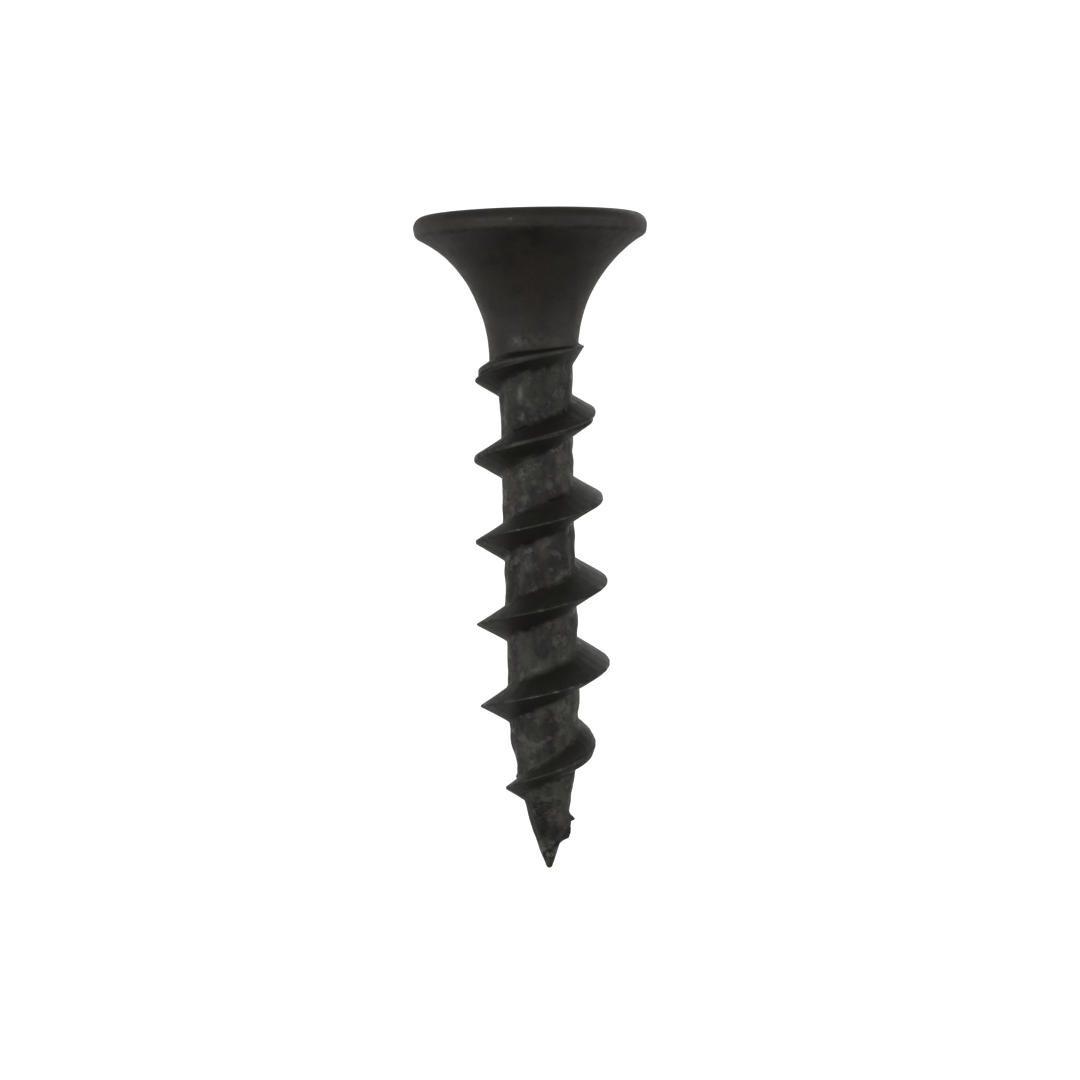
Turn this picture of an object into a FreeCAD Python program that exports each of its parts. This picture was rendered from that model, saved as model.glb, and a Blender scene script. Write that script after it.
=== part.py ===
import FreeCAD, Part
import math
import os

# A coarse-thread wood screw with a bugle head, headed and thread-rolled from one piece of steel wire.
#
# Frame: millimetres. The origin is the centre of the head's flat top, the axis is Z and the point is
# at -Z. A depth is a distance below the head's top. A winding count runs along the ridge of the thread:
# it is 0 where the ridge leaves the neck, on the +X side, and the ridge goes down one lead for each
# turn. The thread is right-handed.

# Head
HEAD_RADIUS = 4.39
RIM_ROUNDING = 0.43
RIM_TAPER = 0.05
BUGLE_RADIUS = 5.22

# Neck and core
NECK_RADIUS = 1.69
NECK_DEPTH = 5.25
CORE_TOP_RADIUS = 1.43
CORE_TOP_DEPTH = 5.60
CORE_RADIUS = 1.35
CORE_DEPTH = 7.20

# Point
LENGTH = 25.0
OGIVE_DEPTH = 18.2
TIP_RADIUS = 0.13

# Thread
LEAD = 3.16
THREAD_DEPTH = 4.375
START_DROP = 0.58
START_TURNS = 0.5
FIRST_WINDING = -0.32
LAST_WINDING = 6.20
# Rows of winding count, crest radius and half the width of the blunt crest
CREST = [
    (-0.32, 1.45, 0.10),
    (-0.06, 1.80, 0.08),
    (0.00, 1.88, 0.07),
    (0.25, 2.02, 0.13),
    (0.50, 2.22, 0.21),
    (0.75, 2.21, 0.16),
    (1.00, 2.24, 0.19),
    (1.25, 2.30, 0.10),
    (1.50, 2.36, 0.12),
    (2.00, 2.47, 0.09),
    (2.50, 2.42, 0.06),
    (3.00, 2.55, 0.045),
    (3.50, 2.48, 0.03),
    (4.00, 2.58, 0.035),
    (4.50, 2.43, 0.05),
    (4.75, 2.22, 0.05),
    (5.00, 1.95, 0.12),
    (5.12, 1.87, 0.12),
    (5.25, 1.74, 0.06),
    (5.50, 1.57, 0.05),
    (5.80, 1.22, 0.05),
    (6.06, 0.91, 0.05),
    (6.20, 0.42, 0.05),
]
# Rows of winding count and the angles of the upper and the lower flank, from square to the axis
FLANKS = [
    (-0.32, 29.0, 27.0),
    (-0.06, 8.0, 56.0),
    (0.04, 8.0, 56.0),
    (0.30, 29.0, 27.0),
    (2.00, 29.0, 28.0),
    (3.00, 29.0, 30.0),
    (3.50, 29.0, 27.5),
    (4.00, 31.0, 31.0),
    (4.50, 31.5, 29.0),
    (4.88, 35.5, 34.0),
    (5.00, 40.0, 46.0),
    (5.12, 38.5, 49.0),
    (5.30, 31.0, 38.5),
    (5.50, 30.0, 31.5),
    (6.20, 29.0, 27.0),
]
RAIL_POINTS_PER_TURN = 24
FACES_PER_TURN = 2

# Shoulder, where the neck runs on down to the first half turn of the ridge
SHOULDER_FIRST = -0.30
SHOULDER_FULL_TO = 0.45
SHOULDER_LAST = 0.92

# Cross recess, size 2
RECESS_SPAN = 4.70
RECESS_FLOOR_SPAN = 2.30
RECESS_WING_ANGLE = 26.5
RECESS_WING_WIDTH = 1.16
RECESS_SIDE_ANGLE = 5.0
RECESS_DEPTH = 2.90
RECESS_POINT_SPAN = 0.60
RECESS_WEB_SPAN = 2.10
RECESS_WEB_FLOOR_SPAN = 0.80
OVERSHOOT = 0.20


def between(rows, key, column):
    """A value from rows that start with a rising key, in straight lines between the rows."""
    for low, high in zip(rows, rows[1:]):
        if key <= high[0]:
            share = (key - low[0]) / (high[0] - low[0])
            return low[column] + share * (high[column] - low[column])
    return rows[-1][column]


def at(radius, depth):
    """A point of the outline, in the XZ plane."""
    return FreeCAD.Vector(radius, 0, -depth)


def line(start, end):
    """A straight edge of the outline."""
    return Part.LineSegment(start, end).toShape()


def arc(centre, radius, start, end):
    """An edge of the outline round a centre, between two angles in degrees from +X towards +Z."""

    def on_arc(angle):
        turned = math.radians(angle)
        return centre + FreeCAD.Vector(math.cos(turned), 0, math.sin(turned)) * radius

    return Part.Arc(on_arc(start), on_arc((start + end) / 2), on_arc(end)).toShape()


def rim_and_bugle():
    """The rounded rim, its short tapered side, and the bugle curve that ends tangent to the neck."""
    corner_radius = HEAD_RADIUS - RIM_TAPER
    centre_radius = NECK_RADIUS + BUGLE_RADIUS
    lean = math.degrees(math.acos((centre_radius - corner_radius) / BUGLE_RADIUS))
    corner_depth = NECK_DEPTH - BUGLE_RADIUS * math.sin(math.radians(lean))
    rim = arc(at(HEAD_RADIUS - RIM_ROUNDING, RIM_ROUNDING), RIM_ROUNDING, 90, 0)
    side = line(at(HEAD_RADIUS, RIM_ROUNDING), at(corner_radius, corner_depth))
    curve = arc(at(centre_radius, NECK_DEPTH), BUGLE_RADIUS, 180 - lean, 180)
    return [rim, side, curve]


def ogive_arc_radius():
    """The radius of the arc that is tangent to the core and to the rounded tip."""
    run = LENGTH - TIP_RADIUS - OGIVE_DEPTH
    return (CORE_RADIUS**2 + run**2 - TIP_RADIUS**2) / (2 * (CORE_RADIUS - TIP_RADIUS))


def ogive_and_tip():
    """The ogive of the point and the rounded tip, down to the axis."""
    radius = ogive_arc_radius()
    run = LENGTH - TIP_RADIUS - OGIVE_DEPTH
    lean = math.degrees(math.asin(run / (radius - TIP_RADIUS)))
    ogive = arc(at(CORE_RADIUS - radius, OGIVE_DEPTH), radius, 0, -lean)
    tip = arc(at(0, LENGTH - TIP_RADIUS), TIP_RADIUS, -lean, -90)
    return [ogive, tip]


def core_radius(depth):
    """The radius of the body between the turns of the ridge."""
    if depth <= OGIVE_DEPTH:
        rows = [
            (0.0, NECK_RADIUS),
            (NECK_DEPTH, NECK_RADIUS),
            (CORE_TOP_DEPTH, CORE_TOP_RADIUS),
            (CORE_DEPTH, CORE_RADIUS),
            (OGIVE_DEPTH, CORE_RADIUS),
        ]
        return between(rows, depth, 1)
    radius = ogive_arc_radius()
    return CORE_RADIUS - radius + math.sqrt(radius**2 - (depth - OGIVE_DEPTH) ** 2)


def body():
    """Head, neck, core and point, as one solid of revolution."""
    edges = [line(at(0, 0), at(HEAD_RADIUS - RIM_ROUNDING, 0))]
    edges += rim_and_bugle()
    edges += [
        line(at(NECK_RADIUS, NECK_DEPTH), at(CORE_TOP_RADIUS, CORE_TOP_DEPTH)),
        line(at(CORE_TOP_RADIUS, CORE_TOP_DEPTH), at(CORE_RADIUS, CORE_DEPTH)),
        line(at(CORE_RADIUS, CORE_DEPTH), at(CORE_RADIUS, OGIVE_DEPTH)),
    ]
    edges += ogive_and_tip()
    edges.append(line(at(0, LENGTH), at(0, 0)))
    outline = Part.Face(Part.Wire(edges))
    return outline.revolve(FreeCAD.Vector(0, 0, 0), FreeCAD.Vector(0, 0, 1), 360)


def on_helix(winding, radius, depth):
    """The point at a winding count, radius and depth."""
    angle = -2 * math.pi * winding
    return FreeCAD.Vector(radius * math.cos(angle), radius * math.sin(angle), -depth)


def crest_depth(winding):
    """The depth of the crest, which starts lower at the neck and soon joins the steady helix."""
    share = min(max(winding / START_TURNS, 0.0), 1.0)
    return THREAD_DEPTH + LEAD * winding + START_DROP * (1 - share) ** 2


def thread_section(winding):
    """The ridge's section, as (radius, depth): upper root, both edges of the crest, lower root."""
    depth = crest_depth(winding)
    crest = between(CREST, winding, 1)
    flat = between(CREST, winding, 2)
    root = 0.55 * core_radius(depth)
    above = flat + (crest - root) * math.tan(math.radians(between(FLANKS, winding, 1)))
    below = flat + (crest - root) * math.tan(math.radians(between(FLANKS, winding, 2)))
    upper = [(root, depth - above), (crest, depth - flat)]
    lower = [(crest, depth + flat), (root, depth + below)]
    return upper + lower


def shoulder_section(winding):
    """The section of the neck above the ridge, as (radius, depth). It fades out round the back."""
    share = (winding - SHOULDER_FULL_TO) / (SHOULDER_LAST - SHOULDER_FULL_TO)
    fade = min(max(share, 0.0), 1.0)
    outer = NECK_RADIUS - 0.005 - fade * (NECK_RADIUS - 0.8 * CORE_RADIUS)
    inner = 0.5 * CORE_RADIUS
    top = NECK_DEPTH - 0.30
    low = max(crest_depth(winding), top + 0.1)
    return [(inner, top), (outer, top), (outer, low), (inner, low)]


def strip(rail, other, counts):
    """The ruled faces between two rails that share their knots, one face between each two counts."""
    poles = [rail.getPoles(), other.getPoles()]
    knots = rail.getKnots()
    mults = rail.getMultiplicities()
    faces = []
    for first, last in zip(counts, counts[1:]):
        surface = Part.BSplineSurface()
        surface.buildFromPolesMultsKnots(
            poles, [2, 2], mults, [0, 1], knots, False, False, 1, rail.Degree
        )
        surface.segment(0, 1, first, last)
        faces.append(surface.toShape())
    return faces


def even_steps(first, last, per_turn):
    """Winding counts from first to last, in even steps of about this many for each turn."""
    steps = math.ceil((last - first) * per_turn)
    return [first + (last - first) * step / steps for step in range(steps + 1)]


def helical_band(section, first, last):
    """A closed solid whose four-cornered section winds down from one winding count to another."""
    counts = even_steps(first, last, RAIL_POINTS_PER_TURN)
    sections = [section(count) for count in counts]
    rails = []
    for corner in range(4):
        rail = Part.BSplineCurve()
        points = [on_helix(count, *row[corner]) for count, row in zip(counts, sections)]
        rail.interpolate(Points=points, Parameters=counts)
        rails.append(rail)
    faces = []
    for corner in range(4):
        breaks = even_steps(first, last, FACES_PER_TURN)
        faces += strip(rails[corner], rails[(corner + 1) % 4], breaks)
    for end in (0, -1):
        loop = [on_helix(counts[end], *corner) for corner in sections[end]]
        faces.append(Part.Face(Part.makePolygon(loop + loop[:1])))
    skin = Part.Compound(faces)
    skin.sewShape(1e-5)
    band = Part.Solid(Part.Shell(skin.Faces))
    if band.Volume < 0:
        band.reverse()
    return band


def wing_loop(span, width, depth):
    """A rectangle across the axis, long in X, at a depth."""
    corners = [(1, 1), (-1, 1), (-1, -1), (1, -1), (1, 1)]
    points = [FreeCAD.Vector(span / 2 * x, width / 2 * y, -depth) for x, y in corners]
    return Part.makePolygon(points)


def wing_pair(angle):
    """Two opposite wings of the recess, which narrow towards a blunt point, turned about the axis."""
    end_slope = math.tan(math.radians(RECESS_WING_ANGLE))
    side_slope = math.tan(math.radians(RECESS_SIDE_ANGLE))
    floor_depth = (RECESS_SPAN - RECESS_FLOOR_SPAN) / 2 / end_slope
    mouth_width = RECESS_WING_WIDTH + 2 * side_slope * OVERSHOOT
    floor_width = RECESS_WING_WIDTH - 2 * side_slope * floor_depth
    loops = [
        wing_loop(RECESS_SPAN + 2 * OVERSHOOT * end_slope, mouth_width, -OVERSHOOT),
        wing_loop(RECESS_FLOOR_SPAN, floor_width, floor_depth),
        wing_loop(RECESS_POINT_SPAN, 0.6 * floor_width, RECESS_DEPTH),
    ]
    wings = Part.makeLoft(loops, True, True)
    wings.rotate(FreeCAD.Vector(0, 0, 0), FreeCAD.Vector(0, 0, 1), angle)
    return wings


def recess():
    """The cross recess: two pairs of wings, and a tapered web that cuts back the corners between."""
    web = Part.makeCone(
        RECESS_WEB_FLOOR_SPAN / 2,
        RECESS_WEB_SPAN / 2,
        RECESS_DEPTH + OVERSHOOT,
        FreeCAD.Vector(0, 0, -RECESS_DEPTH),
    )
    return wing_pair(0).fuse(wing_pair(90)).fuse(web)


def screw():
    """The whole screw, as one solid."""
    shoulder = helical_band(shoulder_section, SHOULDER_FIRST, SHOULDER_LAST)
    thread = helical_band(thread_section, FIRST_WINDING, LAST_WINDING)
    return body().fuse(shoulder).fuse(thread).cut(recess())


os.makedirs("parts", exist_ok=True)
shape = screw()
print("solids", len(shape.Solids), "valid", shape.isValid(), "faces", len(shape.Faces))
print("volume", round(shape.Volume, 3), shape.BoundBox)
shape.exportStep("parts/screw.step")
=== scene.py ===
"""The wood screw's visual model: one forged and rolled piece, in the CAD frame.

Sizes below are in millimetres, and the mesh is made in metres. A depth is a distance below the
head's flat top. A winding count runs along the ridge of the thread, from 0 at +X where the ridge
leaves the neck, down one lead per turn.
"""

import math

import bpy
import numpy as np
from mathutils import Matrix, Vector

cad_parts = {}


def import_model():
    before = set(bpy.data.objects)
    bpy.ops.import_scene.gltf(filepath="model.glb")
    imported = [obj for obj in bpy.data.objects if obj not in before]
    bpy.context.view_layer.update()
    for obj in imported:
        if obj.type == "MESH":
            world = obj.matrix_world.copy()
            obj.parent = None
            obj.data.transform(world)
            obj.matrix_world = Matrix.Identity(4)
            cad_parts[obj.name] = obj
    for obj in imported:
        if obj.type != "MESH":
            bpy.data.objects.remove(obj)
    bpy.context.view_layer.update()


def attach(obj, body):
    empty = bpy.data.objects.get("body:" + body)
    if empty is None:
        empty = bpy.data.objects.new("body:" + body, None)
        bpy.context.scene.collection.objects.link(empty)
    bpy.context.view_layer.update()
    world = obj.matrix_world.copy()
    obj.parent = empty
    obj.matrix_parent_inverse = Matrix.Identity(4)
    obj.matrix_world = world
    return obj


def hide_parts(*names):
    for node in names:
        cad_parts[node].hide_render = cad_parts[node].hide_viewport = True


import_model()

MM = 0.001

# Head, neck, core and point
HEAD_RADIUS = 4.39
RIM_ROUNDING = 0.43
RIM_TAPER = 0.05
RIM_CORNER = 0.14
RIM_FLARE = 0.100
HEAD_SINK = 0.020
HEAD_TILT = 0.0075
BUGLE_LEAN = 0.045
NECK_RADIUS = 1.69
NECK_DEPTH = 5.25
NECK_END = 5.10
CORE_LEAN = 0.035
POINT_LEAN = 0.028
CORE_ROWS = ([5.55, 6.90, 7.60, 18.2], [1.43, 1.386, 1.355, 1.35])
CORE_RADIUS = 1.35
OGIVE_DEPTH = 18.2
LENGTH = 25.0
TIP_RADIUS = 0.13

# Thread
LEAD = 3.16
THREAD_DEPTH = 4.375
START_DROP = 0.58
START_TURNS = 0.5
UPPER_FLANK = math.radians(28.8)
LOWER_FLANK = math.radians(26.6)
FILLET = 0.055
# Rows of winding count, crest radius and half the width of the crest
CREST = np.array([
    (-0.32, 1.45, 0.10),
    (-0.06, 1.70, 0.05),
    (-0.02, 1.79, 0.04),
    (0.01, 1.91, 0.04),
    (0.06, 1.89, 0.07),
    (0.25, 2.02, 0.12),
    (0.50, 2.20, 0.21),
    (0.75, 2.20, 0.14),
    (1.00, 2.225, 0.19),
    (1.25, 2.30, 0.08),
    (1.50, 2.36, 0.12),
    (1.75, 2.42, 0.06),
    (2.00, 2.47, 0.10),
    (2.25, 2.45, 0.045),
    (2.50, 2.42, 0.06),
    (3.00, 2.55, 0.045),
    (3.50, 2.48, 0.03),
    (4.00, 2.58, 0.035),
    (4.50, 2.43, 0.05),
    (4.75, 2.22, 0.05),
    (4.88, 2.05, 0.06),
    (5.00, 1.935, 0.11),
    (5.12, 1.91, 0.12),
    (5.25, 1.74, 0.06),
    (5.50, 1.57, 0.05),
    (5.80, 1.22, 0.05),
    (5.92, 1.04, 0.05),
    (5.965, 0.90, 0.05),
    (6.00, 0.86, 0.05),
    (6.06, 0.91, 0.04),
    (6.11, 0.74, 0.04),
    (6.16, 0.40, 0.04),
])
# Rows of winding count, and how much longer the upper and the lower flank are there
FLANKS = np.array([
    (0.04, 0.06, 3.00),
    (0.30, 1.00, 1.00),
    (0.50, 1.05, 1.14),
    (1.00, 1.00, 1.27),
    (1.50, 1.00, 1.10),
    (2.00, 1.00, 1.04),
    (2.50, 1.00, 1.14),
    (3.00, 1.00, 1.16),
    (3.50, 1.00, 1.04),
    (4.00, 1.11, 1.14),
    (4.12, 1.10, 1.02),
    (4.50, 1.12, 1.10),
    (4.88, 1.75, 1.35),
    (5.00, 1.95, 2.10),
    (5.06, 1.80, 1.85),
    (5.12, 1.60, 1.45),
    (5.30, 1.10, 1.30),
    (5.50, 1.05, 1.22),
    (6.00, 1.00, 1.00),
])
# Rows of winding count, and how far the middle of the flanks bulges there
BELLY = np.array([
    (2.80, 0.0),
    (3.00, 0.03),
    (3.25, 0.0),
    (3.75, 0.0),
    (4.00, 0.06),
    (4.12, 0.08),
    (4.25, 0.0),
    (4.60, 0.0),
    (4.90, 0.10),
    (5.05, 0.14),
    (5.15, 0.08),
    (5.30, 0.0),
])
# Rows of winding count, and the seam that rolling left along the crest: its place across the
# crest, the step from one side of it to the other, and its depth
SEAM = np.array([
    (0.50, 0.52, 0.075, 0.15),
    (1.00, -0.05, 0.050, 0.12),
])
# How far the crest line drops near the point, from which winding on
CREST_SAG = 0.07
SAG_FROM = 5.15

# Cross recess, size 2
RECESS_SPAN = 4.70
RECESS_FLOOR_SPAN = 2.30
RECESS_WING_SLOPE = math.tan(math.radians(26.5))
RECESS_WING_WIDTH = 1.16
RECESS_SIDE_SLOPE = math.tan(math.radians(5.0))
RECESS_DEPTH = 2.90
RECESS_WEB_SPAN = 2.10
# Share of the web's span that is lost from the mouth to the bottom
RECESS_WEB_TAPER = 0.65
# Wing length, half the wing's width and web radius at the recess's lowest ring, and its last dip
BOTTOM_REACH = 0.30
BOTTOM_HALF_WIDTH = 0.20
BOTTOM_WEB = 0.29
BOTTOM_DIP = 0.03
MOUTH_ROUNDING = 0.07
# How far the flat top is dished round the recess
TOP_DISH = 0.02

# Small bumps and pits, as rows of x, y and depth, width along x and y, height along the axis, and
# how far the surface is pushed out: the bump above the last crest, the burr on the point, and
# places where the core and the point are a little full or thin
FLAWS = [
    (-1.12, -0.05, 21.38, 0.16, 0.07, 0.10),
    (-0.42, -0.30, 22.95, 0.10, 0.08, -0.05),
    (0.90, -0.05, 23.06, 0.22, 0.17, 0.36),
    (0.90, -0.05, 23.11, 0.22, 0.11, 0.18),
    (0.70, -0.05, 23.80, 0.26, 0.135, 0.50),
    (-0.75, 0.00, 22.60, 0.60, 0.50, -0.035),
    (-1.15, 0.00, 20.85, 0.50, 0.25, -0.070),
    (1.35, -0.10, 15.30, 0.60, 0.45, 0.045),
    (1.35, -0.10, 18.20, 0.60, 0.30, 0.045),
    (1.35, -0.10, 18.98, 0.60, 0.25, -0.045),
    (-1.30, 0.00, 19.85, 0.60, 0.35, 0.050),
]
# Lighter and darker spots, as rows of x, y and depth, width, height, and level: positive is
# lighter, negative is darker. Most lighter spots are painted highlights and glints. The darker
# spots on the core's sides are painted shade, and the one on the neck's left is a stain
PAINTED_LIGHT_AND_STAIN_SPOTS = [
    # painted highlight: a glint on the rim's side
    (-0.72, -4.33, 0.45, 0.07, 0.05, 1.6),
    # a stain on the neck's left
    (-1.20, -1.20, 4.55, 0.30, 0.26, -0.8),
    # painted highlight on the neck's front
    (-0.60, -1.60, 4.72, 0.32, 0.16, 0.8),
    # a broad darker patch on the core's front below the neck, and painted shade on both sides of
    # the core there
    (0.00, -1.45, 6.90, 1.20, 1.10, -0.75),
    (-1.30, -0.35, 6.90, 0.60, 1.10, -1.35),
    (1.30, -0.35, 6.90, 0.60, 1.10, -1.55),
    # painted highlights and glints on the core, most of them left of its middle
    (-0.55, -1.25, 6.70, 0.13, 0.40, 1.9),
    (-0.50, -1.25, 7.50, 0.12, 0.18, 1.7),
    (-1.15, -0.75, 7.20, 0.16, 0.30, 0.8),
    (-0.50, -1.25, 9.70, 0.18, 0.22, 1.7),
    (-0.45, -1.25, 10.55, 0.14, 0.28, 0.9),
    (0.45, -1.25, 10.10, 0.14, 0.16, 0.9),
    # painted shade on the core's right side
    (0.90, -1.00, 6.60, 0.16, 0.20, -0.7),
    (0.95, -0.95, 9.80, 0.15, 0.25, -0.6),
    # painted highlights on the core, left of its middle
    (-0.40, -1.28, 12.60, 0.15, 0.18, 1.5),
    (-0.45, -1.25, 13.10, 0.22, 0.20, 0.8),
    # painted shade down the core's right side
    (0.95, -0.95, 13.00, 0.15, 0.22, -0.7),
    (0.95, -0.95, 16.20, 0.13, 0.25, -0.6),
    (0.95, -0.95, 19.10, 0.10, 0.30, -0.6),
    # a thin darker line near the point
    (-0.50, -0.30, 23.12, 0.16, 0.05, -0.9),
    # a lighter patch at the tip
    (0.00, -0.40, 24.35, 0.60, 0.50, 1.70),
    # painted highlight: a broad lighter zone on the neck's front
    (0.20, -1.60, 4.72, 0.90, 0.28, 0.30),
]
# Polished spots on the crest, whose lighter colour is a painted glint, as rows of winding
# count and level, and their width and height
CREST_RUBS_AND_GLINTS = [(1.20, 0.9), (2.30, 1.0), (3.25, 1.6), (4.22, 1.8), (4.33, 0.8), (5.20, 1.2)]
CREST_GLINT_SIZE = (0.10, 0.04)

# Base colours, as linear red, green, blue and alpha
HEAD_SHADE = (0.0152, 0.0130, 0.0104, 1)
HEAD_LIGHT = (0.0235, 0.0222, 0.0172, 1)
HEAD_WARM = (0.0228, 0.0176, 0.0150, 1)
RIDGE_SHADE = (0.0145, 0.0148, 0.0104, 1)
RIDGE_LIGHT = (0.0205, 0.0208, 0.0158, 1)
RIDGE_WARM = (0.0190, 0.0180, 0.0172, 1)
CORE_SHADE = (0.0072, 0.0070, 0.0055, 1)
CORE_LIGHT = (0.0450, 0.0452, 0.0365, 1)
# the core's polished facets, lighter in colour as a painted glint
CORE_FACET_GLINT = (0.072, 0.073, 0.061, 1)
CORE_DENT = (0.0075, 0.0074, 0.0060, 1)
# painted shade in the creases between the core's lumps
CORE_CREASE_SHADE = (0.0070, 0.0070, 0.0056, 1)
CORE_WARMTH = (1.10, 0.975, 1.03)
# Colours of the lighter spots, mostly painted highlights and glints, and of the darker spots,
# painted shade and stains
HIGHLIGHT_AND_LIGHT_SPOT = (0.105, 0.106, 0.093, 1)
SHADE_AND_STAIN_SPOT = (0.0060, 0.0060, 0.0052, 1)
# Colour of the edges' wear, partly real wear and partly a painted glint
WORN_EDGE_AND_GLINT = (0.075, 0.075, 0.064, 1)
# Height of the finish's relief, in metres
BUMP_HEIGHT = 0.00003

# Mesh: columns round the axis, and lines down each turn of the thread
COLUMNS = 200
FIRST_TURN = -1.125
LAST_TURN = 6.875
CORE_LINES = 9
ROOT_LINES = 3
FLANK_LINES = 6
CREST_LINES = 12
# Columns from the middle of a wing to its corner, and to where its side meets the web
WING_CORNER = 9
WING_ROOT = 22


def smooth(t):
    """A step from 0 to 1 with level ends."""
    t = np.clip(t, 0.0, 1.0)
    return t * t * (3 - 2 * t)


def waves(points, count, short, long, seed, stretch=1.0):
    """A smooth random field from about -1 to 1, of waves that are short to long mm in length."""
    random = np.random.default_rng(seed)
    field = np.zeros(len(points))
    for _ in range(count):
        direction = random.normal(size=3)
        direction /= np.linalg.norm(direction)
        direction[2] /= stretch
        length = short * (long / short) ** random.random()
        phase = random.random() * 2 * math.pi
        field += np.sin(points @ direction * (2 * math.pi / length) + phase)
    return field / math.sqrt(count / 2) / 1.6


# ---------------------------------------------------------------- outline

ACROSS = HEAD_RADIUS - RIM_ROUNDING - NECK_RADIUS
DOWN = NECK_DEPTH - RIM_ROUNDING
BUGLE = (ACROSS**2 + DOWN**2 - RIM_ROUNDING**2) / (2 * (ACROSS + RIM_ROUNDING))
OGIVE_RUN = LENGTH - TIP_RADIUS - OGIVE_DEPTH
OGIVE = (CORE_RADIUS**2 + OGIVE_RUN**2 - TIP_RADIUS**2) / (2 * (CORE_RADIUS - TIP_RADIUS))
TIP_LEAN = math.asin(OGIVE_RUN / (OGIVE - TIP_RADIUS))


def crest_depth(winding):
    """The depth of the crest line, which starts high on the neck and drops near the point."""
    share = np.clip(winding / START_TURNS, 0.0, 1.0)
    sag = CREST_SAG * smooth((winding - SAG_FROM) / 0.35)
    return THREAD_DEPTH + LEAD * winding + START_DROP * (1 - share) ** 2 + sag


def core_radius(depth):
    """The radius of the core and of the point."""
    core = np.interp(depth, *CORE_ROWS)
    past = np.clip(depth - OGIVE_DEPTH, 0.0, OGIVE_RUN)
    point = CORE_RADIUS - OGIVE + np.sqrt(OGIVE**2 - past**2)
    return np.where(depth > OGIVE_DEPTH, point, core)


def body_radius(depth, turn):
    """The radius without the ridge, at a depth and a share of a turn round from +X.

    The neck runs on down to the first half turn of the ridge.
    """
    rise = np.clip(NECK_DEPTH - depth, 0.0, BUGLE)
    bugle = NECK_RADIUS + BUGLE - np.sqrt(BUGLE**2 - rise**2)
    core = core_radius(depth)
    fade = smooth((turn - 0.45) / 0.5)
    along_ridge = (1 - fade) * smooth((crest_depth(turn) + 0.1 - depth) / 0.3)
    neck = np.maximum(smooth((NECK_END + 0.4 - depth) / 0.4), along_ridge)
    lean = CORE_LEAN * smooth((depth - 5.2) / 0.3) * (1 - smooth((depth - 7.9) / 2.5))
    lean += POINT_LEAN * smooth((depth - 21.6) / 1.6)
    core = core + (NECK_RADIUS - core) * neck + lean * np.cos(2 * math.pi * turn)
    return np.where(depth < NECK_END, bugle, core)


# ---------------------------------------------------------------- thread


def flank_slopes(winding):
    """How far the upper and lower flanks run along the axis for each mm of the ridge's height."""
    upper = math.tan(UPPER_FLANK) * np.interp(winding, FLANKS[:, 0], FLANKS[:, 1])
    lower = math.tan(LOWER_FLANK) * np.interp(winding, FLANKS[:, 0], FLANKS[:, 2])
    return upper, lower


def ridge_radius(winding, offset, crest, flat):
    """The ridge's radius at an offset below its crest line.

    On the first turn the crest has two lobes with the seam that rolling left between them.
    """
    upper, lower = flank_slopes(winding)
    slope = np.where(offset < 0, upper, lower)
    beside = np.maximum(np.abs(offset) - flat, 0.0)
    across = np.clip(offset / flat, -1.0, 1.0)
    seam = smooth((winding - 0.18) / 0.25) * (1 - smooth((winding - 1.15) / 0.35))
    seam *= 0.15 + 0.85 * np.cos(2 * math.pi * winding) ** 2
    lead_lobe = np.cos(2 * math.pi * (winding - 0.5))
    place, step, groove = (np.interp(winding, SEAM[:, 0], SEAM[:, k]) for k in (1, 2, 3))
    groove = groove * seam * np.exp(-(((across - np.maximum(place, 0.35)) / 0.20) ** 2))
    lobe = step * seam * lead_lobe * np.tanh(4.5 * (across - place))
    rounding = (0.30 * flat + 0.010) * across**4 * (1 - 0.85 * seam)
    along = np.clip(beside / slope / np.maximum(crest - CORE_RADIUS, 0.1), 0.0, 1.0)
    belly = np.interp(winding, BELLY[:, 0], BELLY[:, 1]) * 4 * along * (1 - along)
    return crest + lobe - groove - rounding - beside / slope + belly


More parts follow.
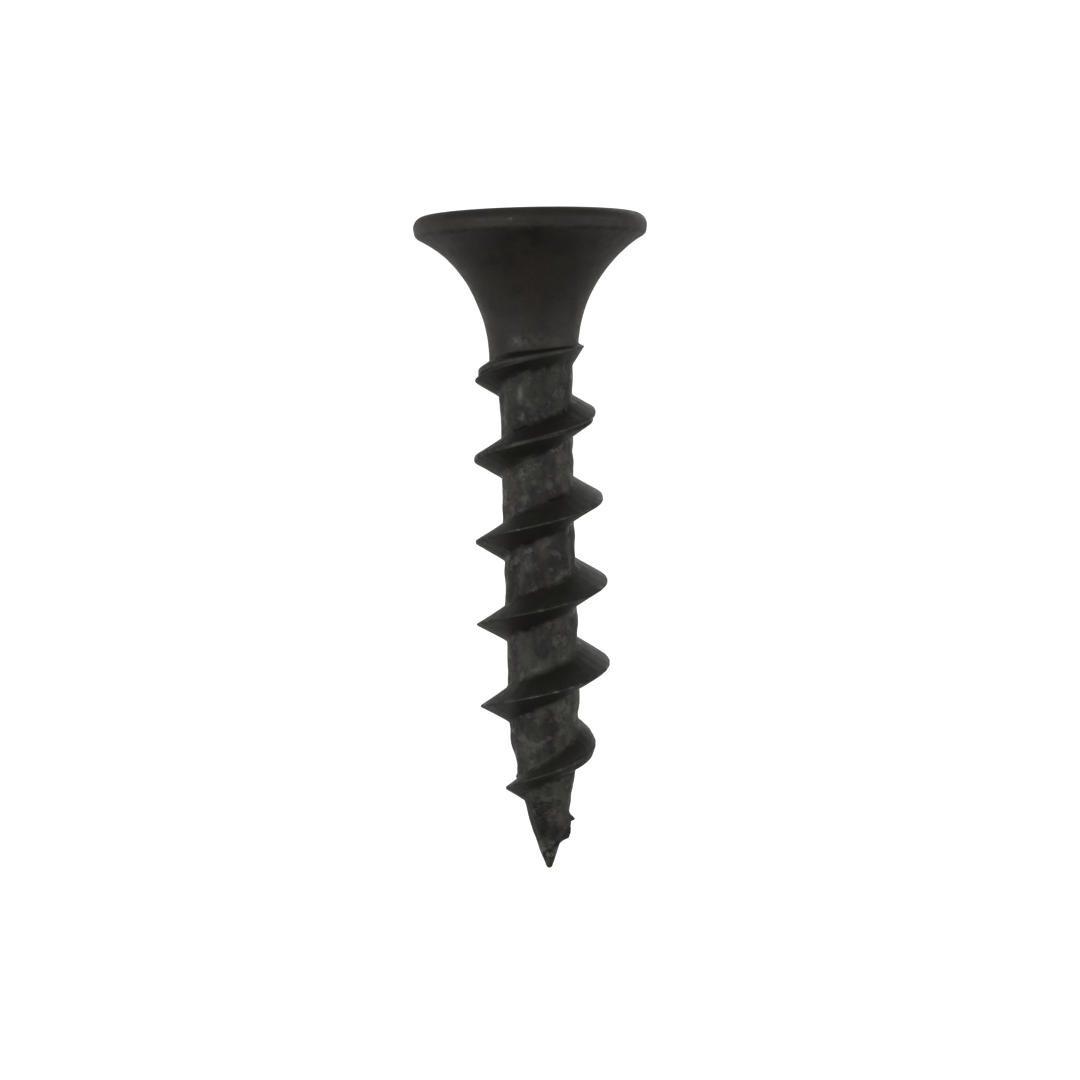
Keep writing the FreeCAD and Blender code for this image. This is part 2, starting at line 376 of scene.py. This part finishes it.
def band():
    """The helical grid of the neck's end, the thread and most of the point.

    Gives each vertex's winding count, depth and radius, how far it is up the ridge, and its wear,
    whose lighter colour is partly a painted glint.
    """
    steps = round((LAST_TURN - FIRST_TURN) * COLUMNS)
    winding = FIRST_TURN + np.arange(steps + 1) / COLUMNS

    def border(count):
        count = np.clip(count, FIRST_TURN + 1, LAST_TURN)
        return THREAD_DEPTH + LEAD * (count - 0.5)

    top = border(winding)
    bottom = border(winding + 1)
    room = np.maximum(bottom - top, 1e-9)
    share = np.clip((crest_depth(winding) - top) / room, 0.45, 0.9)
    middle = top + share * room
    crest = np.interp(winding, CREST[:, 0], CREST[:, 1], left=0.0, right=0.0)
    crest += 0.012 * waves(np.c_[winding, 0 * winding, 0 * winding], 24, 0.03, 0.4, 3)
    flat = np.interp(winding, CREST[:, 0], CREST[:, 2])
    proud = np.maximum(crest - core_radius(middle), 0.04)
    upper_slope, lower_slope = flank_slopes(winding)
    spread = 0.6 * smooth((winding - 5.6) / 0.3)
    upper = np.minimum(np.maximum(flat + proud * upper_slope, spread), 0.8 * (middle - top))
    lower = np.minimum(np.maximum(flat + proud * lower_slope, spread), 0.8 * (bottom - middle))
    upper_root = 0.2 * upper
    lower_root = 0.2 * lower
    flat_up = np.minimum(flat, 0.3 * upper)
    flat_down = np.minimum(flat, 0.3 * lower)
    stations = [
        (top, 0),
        (middle - upper - upper_root, CORE_LINES),
        (middle - upper + upper_root, ROOT_LINES),
        (middle - flat_up, FLANK_LINES),
        (middle + flat_down, CREST_LINES),
        (middle + lower - lower_root, FLANK_LINES),
        (middle + lower + lower_root, ROOT_LINES),
        (bottom, CORE_LINES),
    ]
    lines = [top]
    for (start, _), (end, count) in zip(stations, stations[1:]):
        for step in range(1, count + 1):
            lines.append(start + (end - start) * step / count)
    depth = np.stack(lines, axis=1)
    count = winding[:, None] + 0 * depth
    turn = count - np.floor(count + 1e-9)
    body = body_radius(depth, turn)
    offset = depth - crest_depth(count)
    ridge = ridge_radius(count, offset, crest[:, None], flat[:, None])
    ridge = np.where(crest[:, None] > 0, ridge, 0.0)
    gap = body - ridge
    fillet = FILLET * (0.3 + 0.7 * smooth((count - 0.05) / 0.3))
    radius = 0.5 * (body + ridge + np.sqrt(gap**2 + fillet**2))
    radius = np.where(ridge > 0, radius, body)
    far = smooth((-gap - 0.02) / 0.25)
    # wear along the crest, which the material also lightens as a painted glint
    edge = np.exp(-((offset / (0.7 * flat[:, None] + 0.03)) ** 2))
    edge = edge * smooth((crest[:, None] - body) / 0.3)
    edge *= 0.35 + 0.65 * smooth((count - 0.7) / 1.0)
    return count, depth, radius, far, edge


def band_ids(shape, columns):
    """Vertex numbers of the band.

    Each turn's last line is the next turn's first, and both ends run out to a single vertex.
    """
    rows, lines = shape
    ids = np.arange(rows * lines).reshape(rows, lines)
    ids[: rows - columns, -1] = ids[columns:, 0]
    ids[0, :] = ids[columns, 0]
    ids[-1, :] = ids[-1, 0]
    ids[rows - 1 - columns, -1] = ids[-1, 0]
    return ids


# ---------------------------------------------------------------- head and recess


def recess_outline(depth, grow):
    """The cross at a depth, one point for each column, as x and y. grow widens it all round."""
    floor_depth = (RECESS_SPAN - RECESS_FLOOR_SPAN) / 2 / RECESS_WING_SLOPE
    past = np.clip((depth - floor_depth) / (RECESS_DEPTH - floor_depth), 0.0, 1.0)
    upper = min(depth, floor_depth)
    reach = RECESS_SPAN / 2 - upper * RECESS_WING_SLOPE
    width = RECESS_WING_WIDTH / 2 - upper * RECESS_SIDE_SLOPE
    web = RECESS_WEB_SPAN / 2 * (1 - RECESS_WEB_TAPER * depth / RECESS_DEPTH)
    reach = reach + (BOTTOM_REACH - reach) * past + grow
    width = width + (BOTTOM_HALF_WIDTH - width) * past + grow
    web = max(web + grow, 1.02 * math.sqrt(2) * width) if past < 1 else BOTTOM_WEB
    inner = math.asin(min(width / web, 0.7))
    quarter = COLUMNS // 4
    half = quarter // 2
    xs = []
    ys = []
    for step in range(half + 1):
        if step <= WING_CORNER:
            x, y = reach, width * step / WING_CORNER
        elif step <= WING_ROOT:
            t = (step - WING_CORNER) / (WING_ROOT - WING_CORNER)
            x, y = reach + (web * math.cos(inner) - reach) * t, width
        else:
            t = (step - WING_ROOT) / (half - WING_ROOT)
            angle = inner + (math.pi / 4 - inner) * t
            x, y = web * math.cos(angle), web * math.sin(angle)
        xs.append(x)
        ys.append(y)
    points = []
    for column in range(COLUMNS):
        number = column + round(FIRST_TURN * COLUMNS)
        wing = math.floor((number + half) / quarter)
        step = number - wing * quarter
        x, y = xs[abs(step)], ys[abs(step)]
        y = -y if step > 0 else y
        turn = -wing * math.pi / 2
        points.append((
            x * math.cos(turn) - y * math.sin(turn),
            x * math.sin(turn) + y * math.cos(turn),
        ))
    return np.array(points)


def circle(radius):
    """A circle with one point for each column."""
    angle = -2 * math.pi * (FIRST_TURN + np.arange(COLUMNS) / COLUMNS)
    return radius * np.stack([np.cos(angle), np.sin(angle)], axis=1)


def bugle_radius(depth):
    """The radius of the hollow cone under the head, which flares a little more at the rim."""
    flare = RIM_FLARE * math.exp((0.8 - depth) / 0.35)
    return NECK_RADIUS + BUGLE - math.sqrt(BUGLE**2 - (NECK_DEPTH - depth) ** 2) + flare


def rim_side():
    """The rim's steep side and the rounded corner where the hollow cone begins.

    Gives rows of radius, depth and wear, whose lighter colour is partly a painted glint.
    """
    low, high = RIM_ROUNDING, 2 * RIM_ROUNDING
    for _ in range(40):
        middle = (low + high) / 2
        if bugle_radius(middle) > HEAD_RADIUS - RIM_TAPER:
            low = middle
        else:
            high = middle
    corner = np.array([HEAD_RADIUS - RIM_TAPER, middle])
    start = np.array([HEAD_RADIUS, RIM_ROUNDING])
    end_depth = corner[1] + RIM_CORNER * 0.6
    end = np.array([bugle_radius(end_depth), end_depth])
    side = corner + (start - corner) * RIM_CORNER / np.linalg.norm(start - corner)
    rows = [(*(start + (side - start) * share), 0.0) for share in (0.34, 0.67)]
    for share in np.linspace(0, 1, 8):
        place = side * (1 - share) ** 2 + 2 * corner * share * (1 - share) + end * share**2
        rows.append((*place, 0.35 * math.sin(math.pi * share)))
    return rows


def head_rings(first_depth):
    """Rings from the recess's floor, over the flat top, round the rim and down to the band."""
    rings = []

    def add(outline, depth, edge=0.0):
        rings.append((outline, np.full(COLUMNS, depth), np.full(COLUMNS, edge)))

    for depth in np.linspace(RECESS_DEPTH, 2.45, 5):
        add(recess_outline(depth, 0.0), depth)
    for depth in np.linspace(2.38, 0.25, 12):
        add(recess_outline(depth, 0.0), depth)
    for angle in np.radians([8, 25, 42, 58, 74, 90]):
        sink = MOUTH_ROUNDING * (1 - math.sin(angle))
        add(recess_outline(sink, MOUTH_ROUNDING * (1 - math.cos(angle))), sink, 0.8)
    mouth = recess_outline(0.0, MOUTH_ROUNDING)
    flat = circle(HEAD_RADIUS - RIM_ROUNDING)
    for share in np.linspace(0, 1, 16)[1:]:
        lip = TOP_DISH * (1 - math.exp(-6 * share)) * (1 - smooth((share - 0.75) / 0.25))
        add(mouth + (flat - mouth) * share, lip)
    for angle in np.linspace(math.pi / 2, 0.0, 12)[1:]:
        radius = HEAD_RADIUS - RIM_ROUNDING + RIM_ROUNDING * math.cos(angle)
        add(circle(radius), RIM_ROUNDING * (1 - math.sin(angle)))
    side = rim_side()
    for radius, depth, edge in side:
        add(circle(radius), depth, edge)
    cone_start = side[-1][1]
    for depth in np.linspace(cone_start, first_depth, 30)[1:-1]:
        add(circle(bugle_radius(depth)), depth)
    return rings


def tip_rings(last_depth):
    """Rings from the band's end down the ogive and round the tip."""
    rings = []
    nose = LENGTH - TIP_RADIUS + TIP_RADIUS * math.sin(TIP_LEAN)
    lean = (POINT_LEAN, 0.0)
    for depth in np.linspace(last_depth, nose, 9)[1:-1]:
        rings.append((circle(float(core_radius(np.array(depth)))) + lean, depth))
    for angle in np.linspace(TIP_LEAN, math.pi / 2, 8)[:-1]:
        radius = TIP_RADIUS * math.cos(angle)
        rings.append((circle(radius) + lean, LENGTH - TIP_RADIUS + TIP_RADIUS * math.sin(angle)))
    return rings


# ---------------------------------------------------------------- mesh


def screw_mesh():
    """Vertices in mm, faces and the vertex masks of the whole screw, as one closed skin."""
    count, depth, radius, far, edge = band()
    rows, lines = depth.shape
    ids = band_ids(depth.shape, COLUMNS)
    angle = -2 * math.pi * count
    grid = np.stack([radius * np.cos(angle), radius * np.sin(angle), -depth], axis=2).reshape(-1, 3)
    points = [grid]
    ridge = [far.reshape(-1)]
    wear_and_glint = [edge.reshape(-1)]
    core = [smooth((depth.reshape(-1) - 5.0) / 0.5)]
    base = len(grid)

    quads = [
        (ids[i, j], ids[i + 1, j], ids[i + 1, j + 1], ids[i, j + 1])
        for i in range(rows - 1)
        for j in range(lines - 1)
    ]

    def add_ring(outline, depths, edges, in_core):
        nonlocal base
        points.append(np.c_[outline, -depths])
        ridge.append(np.zeros(COLUMNS))
        wear_and_glint.append(edges)
        core.append(np.full(COLUMNS, in_core))
        base += COLUMNS
        return list(range(base - COLUMNS, base))

    def add_pole(z, in_core):
        nonlocal base
        points.append(np.array([[0.0, 0.0, z]]))
        ridge.append(np.zeros(1))
        wear_and_glint.append(np.zeros(1))
        core.append(np.full(1, in_core))
        base += 1
        return base - 1

    def join(upper, lower):
        for i in range(COLUMNS):
            k = (i + 1) % COLUMNS
            quads.append((upper[i], upper[k], lower[k], lower[i]))

    top_ring = [ids[i, 0] for i in range(COLUMNS)]
    last = rows - 1 - COLUMNS
    low_ring = [None] * COLUMNS
    for i in range(COLUMNS):
        low_ring[(last + i) % COLUMNS] = ids[last + i, -1]

    pole = add_pole(-RECESS_DEPTH - BOTTOM_DIP, 0.0)
    previous = None
    for outline, depths, edges in head_rings(depth[0, 0]):
        ring = add_ring(outline, depths, edges, 0.0)
        if previous is None:
            quads.extend((pole, ring[(i + 1) % COLUMNS], ring[i]) for i in range(COLUMNS))
        else:
            join(previous, ring)
        previous = ring
    join(previous, top_ring)

    previous = low_ring
    for outline, at_depth in tip_rings(depth[-1, -1]):
        ring = add_ring(outline, np.full(COLUMNS, at_depth), np.zeros(COLUMNS), 1.0)
        join(previous, ring)
        previous = ring
    pole = add_pole(-LENGTH, 1.0)
    quads.extend((previous[i], previous[(i + 1) % COLUMNS], pole) for i in range(COLUMNS))

    points = np.concatenate(points)
    masks = [np.concatenate(m) for m in (ridge, wear_and_glint, core)]
    faces = []
    for quad in quads:
        corners = [int(v) for k, v in enumerate(quad) if v != quad[k - 1]]
        if len(set(corners)) >= 3:
            faces.append(corners)
    used = np.zeros(len(points), dtype=bool)
    for face in faces:
        used[face] = True
    number = np.cumsum(used) - 1
    faces = [[int(number[v]) for v in face] for face in faces]
    return points[used], faces, [m[used] for m in masks]


def roughen(points, masks):
    """The small unevenness of rolled and phosphated steel, as a shift along the radius, in mm."""
    ridge, wear_and_glint, core, _ = masks
    streaks = waves(points, 60, 0.20, 0.9, 11, stretch=3.0)
    lumps = waves(points, 50, 0.40, 1.2, 12)
    grain = waves(points, 60, 0.12, 0.30, 13)
    on_core = core * (1 - ridge)
    hammered = waves(points, 40, 0.45, 0.75, 15, stretch=1.6)
    shift = on_core * (0.008 * streaks + 0.002 * grain + 0.010 * lumps + 0.019 * hammered)
    shift += (1 - on_core) * (0.004 * lumps + 0.0012 * grain)
    shift += 0.008 * wear_and_glint * waves(points, 50, 0.15, 0.6, 14)
    radius = np.maximum(np.hypot(points[:, 0], points[:, 1]), 1e-6)
    shift *= smooth(radius / 0.35)
    top = smooth((-0.35 - points[:, 2]) / 0.2)
    shift *= top
    moved = points.copy()
    moved[:, 0] += points[:, 0] / radius * shift
    moved[:, 1] += points[:, 1] / radius * shift
    return moved


def settle(points):
    """Sets the head a little low and tilted on the neck, its hollow cone fuller on one side."""
    settled = points.copy()
    depth = -points[:, 2]
    in_head = smooth((4.9 - depth) / 1.6)
    settled[:, 2] -= in_head * (HEAD_SINK + HEAD_TILT * points[:, 0])
    outer = smooth((np.hypot(points[:, 0], points[:, 1]) - 1.6) / 0.3)
    on_cone = smooth((depth - 0.9) / 0.5) * (1 - smooth((depth - 1.7) / 1.8))
    settled[:, 0] += BUGLE_LEAN * outer * on_cone
    return settled


def add_flaw(points, x, y, depth, width, height, amount):
    """A small bump or pit, pushed along the radius, with its centre near a place on the surface."""
    away = (points[:, 0] - x) ** 2 + (points[:, 1] - y) ** 2
    away = away / width**2 + (points[:, 2] + depth) ** 2 / height**2
    radius = np.maximum(np.hypot(points[:, 0], points[:, 1]), 1e-6)
    push = amount * np.exp(-away)
    points[:, 0] += points[:, 0] / radius * push
    points[:, 1] += points[:, 1] / radius * push


def painted_light_and_stains(points):
    """Sums the spots: painted highlights and glints on the rim, neck, core and crest, painted shade
    on the core's sides, a stain on the neck, and a few other lighter and darker patches.
    """
    spots = list(PAINTED_LIGHT_AND_STAIN_SPOTS)
    # the crest's polished spots, each a painted glint in colour
    for winding, level in CREST_RUBS_AND_GLINTS:
        radius = float(np.interp(winding, CREST[:, 0], CREST[:, 1]))
        angle = -2 * math.pi * winding
        place = (radius * math.cos(angle), radius * math.sin(angle), float(crest_depth(winding)))
        spots.append((*place, *CREST_GLINT_SIZE, level))
    total = np.zeros(len(points))
    for x, y, depth, width, height, level in spots:
        away = ((points[:, 0] - x) ** 2 + (points[:, 1] - y) ** 2) / width**2
        away += (points[:, 2] + depth) ** 2 / height**2
        total += level * np.exp(-away)
    return total


points, faces, masks = screw_mesh()
# painted highlights, glints, shade and stains, as levels on the vertices
masks.append(painted_light_and_stains(points))
points = settle(roughen(points, masks))
for flaw in FLAWS:
    add_flaw(points, *flaw)

mesh = bpy.data.meshes.new("screw_body")
mesh.from_pydata((points * MM).tolist(), [], faces)
for name, values in zip(("ridge", "wear_and_glint", "core", "painted_light_and_stain"), masks):
    mesh.attributes.new(name, "FLOAT", "POINT").data.foreach_set("value", values.astype(np.float32))
mesh.polygons.foreach_set("use_smooth", [True] * len(mesh.polygons))
mesh.update()
screw = bpy.data.objects.new("screw_body", mesh)
bpy.context.scene.collection.objects.link(screw)


# ---------------------------------------------------------------- material


class Nodes:
    """A short way to add nodes to a tree. Inputs are values or other nodes' output sockets."""

    def __init__(self, tree):
        self.tree = tree
        tree.nodes.clear()

    def add(self, kind, inputs=(), **settings):
        node = self.tree.nodes.new(kind)
        for key, value in settings.items():
            setattr(node, key, value)
        for key, value in dict(inputs).items():
            if isinstance(value, bpy.types.NodeSocket):
                self.tree.links.new(value, node.inputs[key])
            else:
                node.inputs[key].default_value = value
        return node

    def math(self, operation, a, b=0.0, c=0.0):
        return self.add("ShaderNodeMath", {0: a, 1: b, 2: c}, operation=operation).outputs[0]

    def mix(self, share, a, b):
        node = self.add("ShaderNodeMix", {0: share, 6: a, 7: b}, data_type="RGBA")
        return node.outputs[2]

    def noise(self, vector, scale, detail=3.0, rough=0.55):
        inputs = {"Vector": vector, "Scale": scale, "Detail": detail, "Roughness": rough}
        return self.add("ShaderNodeTexNoise", inputs).outputs["Fac"]

    def ramp(self, value, low, high):
        inputs = {0: value, 1: low, 2: high, 3: 0.0, 4: 1.0}
        return self.add("ShaderNodeMapRange", inputs, interpolation_type="SMOOTHSTEP").outputs[0]


def phosphate():
    """Black phosphate on steel: matte, finely grained, mottled, with wear on the edges, and with
    painted highlights and glints, and painted shade in the creases and on the core's sides.
    """
    material = bpy.data.materials.new("black_phosphate_steel")
    material.use_nodes = True
    n = Nodes(material.node_tree)
    here = n.add("ShaderNodeTexCoord").outputs["Object"]
    in_mm = {"Vector": here, "Scale": (1000.0, 1000.0, 1000.0)}
    scaled = n.add("ShaderNodeMapping", in_mm).outputs[0]
    in_mm_drawn_out = {"Vector": here, "Scale": (1000.0, 1000.0, 380.0)}
    drawn = n.add("ShaderNodeMapping", in_mm_drawn_out).outputs[0]
    ridge = n.add("ShaderNodeAttribute", attribute_name="ridge").outputs["Fac"]
    wear_and_glint = n.add("ShaderNodeAttribute", attribute_name="wear_and_glint").outputs["Fac"]
    core = n.add("ShaderNodeAttribute", attribute_name="core").outputs["Fac"]
    on_core = n.math("MULTIPLY", core, n.math("SUBTRACT", 1.0, ridge))

    blotch = n.ramp(n.noise(drawn, 1.3, 2.5, 0.5), 0.36, 0.64)
    cloud = n.ramp(n.noise(scaled, 0.8, 4.0, 0.55), 0.38, 0.64)
    tint = n.ramp(n.noise(scaled, 0.55, 3.0, 0.5), 0.40, 0.62)
    facet_and_glint = n.ramp(n.noise(scaled, 2.2, 2.0, 0.50), 0.55, 0.66)
    dent = n.ramp(n.noise(scaled, 2.4, 2.0, 0.5), 0.44, 0.34)
    soft_noise = {"Vector": scaled, "Scale": 1.6, "Detail": 2.0}
    drift = n.add("ShaderNodeTexNoise", soft_noise).outputs["Color"]
    bending = {0: drift, 1: (0.9, 0.9, 0.9), 2: scaled}
    bent = n.add("ShaderNodeVectorMath", bending, operation="MULTIPLY_ADD").outputs[0]
    grid = {"Vector": bent, "Scale": 1.9}
    cells = n.add("ShaderNodeTexVoronoi", grid, feature="DISTANCE_TO_EDGE").outputs["Distance"]
    patchy = n.ramp(n.noise(scaled, 1.1, 2.0, 0.5), 0.42, 0.58)
    # painted shade along the creases between the core's lumps
    crease_shade = n.math("MULTIPLY", n.ramp(cells, 0.11, 0.0), patchy)
    fine = n.noise(scaled, 9.0, 4.0, 0.65)
    # levels of the spots: painted highlights and glints are positive, painted shade and stains
    # negative
    painted_light_and_stain = n.add("ShaderNodeAttribute", attribute_name="painted_light_and_stain").outputs["Fac"]
    broken = n.ramp(n.noise(scaled, 3.6, 3.0, 0.6), 0.36, 0.58)
    painted_highlight_and_light_spot = n.math("MULTIPLY", n.math("MAXIMUM", painted_light_and_stain, 0.0), broken)
    shade = n.math("MULTIPLY_ADD", broken, -0.5, -0.5)
    painted_shade_and_stain = n.math("MAXIMUM", n.math("MULTIPLY", painted_light_and_stain, shade), 0.0)

    head_dark = n.mix(cloud, HEAD_SHADE, HEAD_LIGHT)
    head_dark = n.mix(tint, head_dark, HEAD_WARM)
    ridge_dark = n.mix(cloud, RIDGE_SHADE, RIDGE_LIGHT)
    ridge_dark = n.mix(tint, ridge_dark, RIDGE_WARM)
    smooth_dark = n.mix(ridge, head_dark, ridge_dark)
    rough_light = n.mix(blotch, CORE_SHADE, CORE_LIGHT)
    # polished facets: lower roughness, and a lighter colour as a painted glint
    rough_light = n.mix(n.math("MULTIPLY", facet_and_glint, 0.55), rough_light, CORE_FACET_GLINT)
    rough_light = n.mix(n.math("MULTIPLY", dent, 0.65), rough_light, CORE_DENT)
    rough_light = n.mix(n.math("MULTIPLY", crease_shade, 0.50), rough_light, CORE_CREASE_SHADE)
    warming = {0: rough_light, 1: CORE_WARMTH}
    warmer = n.add("ShaderNodeVectorMath", warming, operation="MULTIPLY").outputs[0]
    rough_light = n.mix(n.math("MULTIPLY", tint, 0.8), rough_light, warmer)
    colour = n.mix(on_core, smooth_dark, rough_light)
    # painted highlights and glints, then painted shade and stains, over the colour
    colour = n.mix(n.math("MULTIPLY", painted_highlight_and_light_spot, 0.7), colour, HIGHLIGHT_AND_LIGHT_SPOT)
    colour = n.mix(n.math("MULTIPLY", painted_shade_and_stain, 0.7), colour, SHADE_AND_STAIN_SPOT)
    grainy = n.math("MULTIPLY_ADD", fine, 0.40, 0.80)
    grainy = n.add("ShaderNodeCombineXYZ", {0: grainy, 1: grainy, 2: grainy}).outputs[0]
    colour = n.add("ShaderNodeVectorMath", {0: colour, 1: grainy}, operation="MULTIPLY").outputs[0]
    # edges with wear: real wear in roughness, and a lighter colour that is partly a painted glint
    rubbed_and_glinting = n.math("MULTIPLY", wear_and_glint, n.ramp(n.noise(scaled, 2.5, 3.0, 0.6), 0.48, 0.64))
    colour = n.mix(n.math("MULTIPLY", rubbed_and_glinting, 0.45), colour, WORN_EDGE_AND_GLINT)

    rough = n.math("MULTIPLY_ADD", n.noise(scaled, 3.0, 4.0, 0.6), 0.30, 0.42)
    rough = n.math("SUBTRACT", rough, n.math("MULTIPLY", rubbed_and_glinting, 0.18))
    shiny = n.math("MAXIMUM", n.math("MULTIPLY", facet_and_glint, on_core), painted_highlight_and_light_spot)
    rough = n.math("SUBTRACT", rough, n.math("MULTIPLY", shiny, 0.16))
    height = n.noise(scaled, 14.0, 4.0, 0.7)
    pits = n.add("ShaderNodeTexVoronoi", {"Vector": scaled, "Scale": 6.0}).outputs["Distance"]
    height = n.math("MULTIPLY_ADD", n.ramp(pits, 0.0, 0.35), 0.5, height)
    lump = n.math("MULTIPLY", n.math("MULTIPLY", n.ramp(cells, 0.0, 0.22), on_core), patchy)
    height = n.math("MULTIPLY_ADD", lump, 0.9, height)
    strength = n.math("MULTIPLY_ADD", on_core, 0.55, 0.30)
    relief = {"Height": height, "Strength": strength, "Distance": BUMP_HEIGHT}
    bump = n.add("ShaderNodeBump", relief)
    shader = n.add("ShaderNodeBsdfPrincipled", {
        "Base Color": colour,
        "Roughness": rough,
        "Normal": bump.outputs[0],
        "Metallic": 0.0,
        "Specular IOR Level": 0.35,
    })
    n.add("ShaderNodeOutputMaterial", {"Surface": shader.outputs[0]})
    return material


screw.data.materials.append(phosphate())
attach(screw, "root")
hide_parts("screw")


# ---------------------------------------------------------------- floor, light and camera

FLOOR_Z = -LENGTH * 1.02
STAGE_RADIUS = 900.0
STAGE_CURVE = 250
STAGE_HEIGHT = 1400.0
PALE = 0.80
LENS = 63.33
SENSOR_WIDTH = 36.0
CAMERA_PLACE = (0.03, -72.12, -5.70)
CAMERA_FORWARD = (0.0, 0.9959, -0.0905)
CAMERA_UPWARD = (0.0294, 0.0904, 0.9955)


def stage_material():
    """Pale and plain, and partly lit from inside, as a light table is."""
    material = bpy.data.materials.new("pale_stage")
    material.use_nodes = True
    n = Nodes(material.node_tree)
    shader = n.add("ShaderNodeBsdfPrincipled", {
        "Base Color": (0.8, 0.8, 0.8, 1),
        "Roughness": 0.9,
        "Emission Color": (1, 1, 1, 1),
        "Emission Strength": PALE,
    })
    n.add("ShaderNodeOutputMaterial", {"Surface": shader.outputs[0]})
    return material


def stage():
    """A round floor that curves up into a wall. It is seen only directly, so it gives no bounce."""
    flat = STAGE_RADIUS - STAGE_CURVE
    profile = [(0.0, 0.0), (flat, 0.0)]
    for angle in np.linspace(0, math.pi / 2, 13)[1:]:
        rise = STAGE_CURVE * (1 - math.cos(angle))
        profile.append((flat + STAGE_CURVE * math.sin(angle), rise))
    profile.append((STAGE_RADIUS, STAGE_HEIGHT))
    segments = 96
    verts = [(0.0, 0.0, 0.0)]
    for radius, height in profile[1:]:
        for k in range(segments):
            angle = 2 * math.pi * k / segments
            verts.append((radius * math.cos(angle), radius * math.sin(angle), height))
    shapes = [(0, 1 + k, 1 + (k + 1) % segments) for k in range(segments)]
    for row in range(len(profile) - 2):
        low = 1 + row * segments
        for k in range(segments):
            following = (k + 1) % segments
            outer = low + segments
            shapes.append((low + k, outer + k, outer + following, low + following))
    data = bpy.data.meshes.new("stage")
    data.from_pydata([(x * MM, y * MM, (z + FLOOR_Z) * MM) for x, y, z in verts], [], shapes)
    data.polygons.foreach_set("use_smooth", [True] * len(data.polygons))
    thing = bpy.data.objects.new("stage", data)
    thing.data.materials.append(stage_material())
    thing.visible_diffuse = False
    thing.visible_glossy = False
    bpy.context.scene.collection.objects.link(thing)


def world():
    """Light round the horizon, behind the screw and overhead. The front and below are dim."""
    bpy.context.scene.world = bpy.data.worlds.new("studio")
    bpy.context.scene.world.use_nodes = True
    n = Nodes(bpy.context.scene.world.node_tree)
    way = n.add("ShaderNodeTexCoord").outputs["Generated"]
    parts = n.add("ShaderNodeSeparateXYZ", {0: way})
    horizon = n.ramp(n.math("ABSOLUTE", parts.outputs["Z"]), 0.75, 0.10)
    behind = n.math("MULTIPLY", n.ramp(parts.outputs["Y"], 0.15, 0.80), 0.64)
    overhead = n.math("MULTIPLY", n.ramp(parts.outputs["Z"], 0.86, 0.97), 0.70)
    level = n.math("MAXIMUM", n.math("MAXIMUM", horizon, behind), overhead)
    strength = n.math("MULTIPLY_ADD", level, 0.78, 0.12)
    shader = n.add("ShaderNodeBackground", {"Color": (1.0, 0.995, 0.96, 1), "Strength": strength})
    n.add("ShaderNodeOutputWorld", {"Surface": shader.outputs[0]})


def soft_light(name, azimuth, elevation, distance, size, watts):
    """A square soft light that faces the screw's middle.

    Azimuth 0 is the camera's side, and a positive azimuth is towards +X. Distance and size
    are in mm.
    """
    lamp = bpy.data.lights.new(name, "AREA")
    lamp.size = size * MM
    lamp.energy = watts
    thing = bpy.data.objects.new(name, lamp)
    a, e = math.radians(azimuth), math.radians(elevation)
    way = np.array([math.sin(a) * math.cos(e), -math.cos(a) * math.cos(e), math.sin(e)])
    middle = np.array([0, 0, -LENGTH / 2])
    thing.location = (middle + way * distance) * MM
    thing.rotation_mode = "QUATERNION"
    thing.rotation_quaternion = Vector(way).to_track_quat("Z", "Y")
    bpy.context.scene.collection.objects.link(thing)


def camera():
    """The camera is level with the bugle, looks a little down and leans a little to the side."""
    data = bpy.data.cameras.new("camera")
    data.lens = LENS
    data.sensor_width = SENSOR_WIDTH
    data.clip_start = 0.001
    data.clip_end = 20.0
    thing = bpy.data.objects.new("camera", data)
    forward = Vector(CAMERA_FORWARD).normalized()
    right = forward.cross(Vector(CAMERA_UPWARD)).normalized()
    upward = right.cross(forward)
    turn = Matrix((right, upward, -forward)).transposed().to_4x4()
    place = Vector(CAMERA_PLACE) * MM
    thing.matrix_world = Matrix.Translation(place) @ turn
    bpy.context.scene.collection.objects.link(thing)
    bpy.context.scene.camera = thing


stage()
world()
soft_light("key", azimuth=-40, elevation=4, distance=160, size=60, watts=0.062)
soft_light("fill", azimuth=66, elevation=0, distance=200, size=90, watts=0.068)
soft_light("edge", azimuth=155, elevation=28, distance=200, size=110, watts=0.040)
camera()
bpy.context.scene.view_settings.view_transform = "Standard"
bpy.context.scene.view_settings.look = "None"
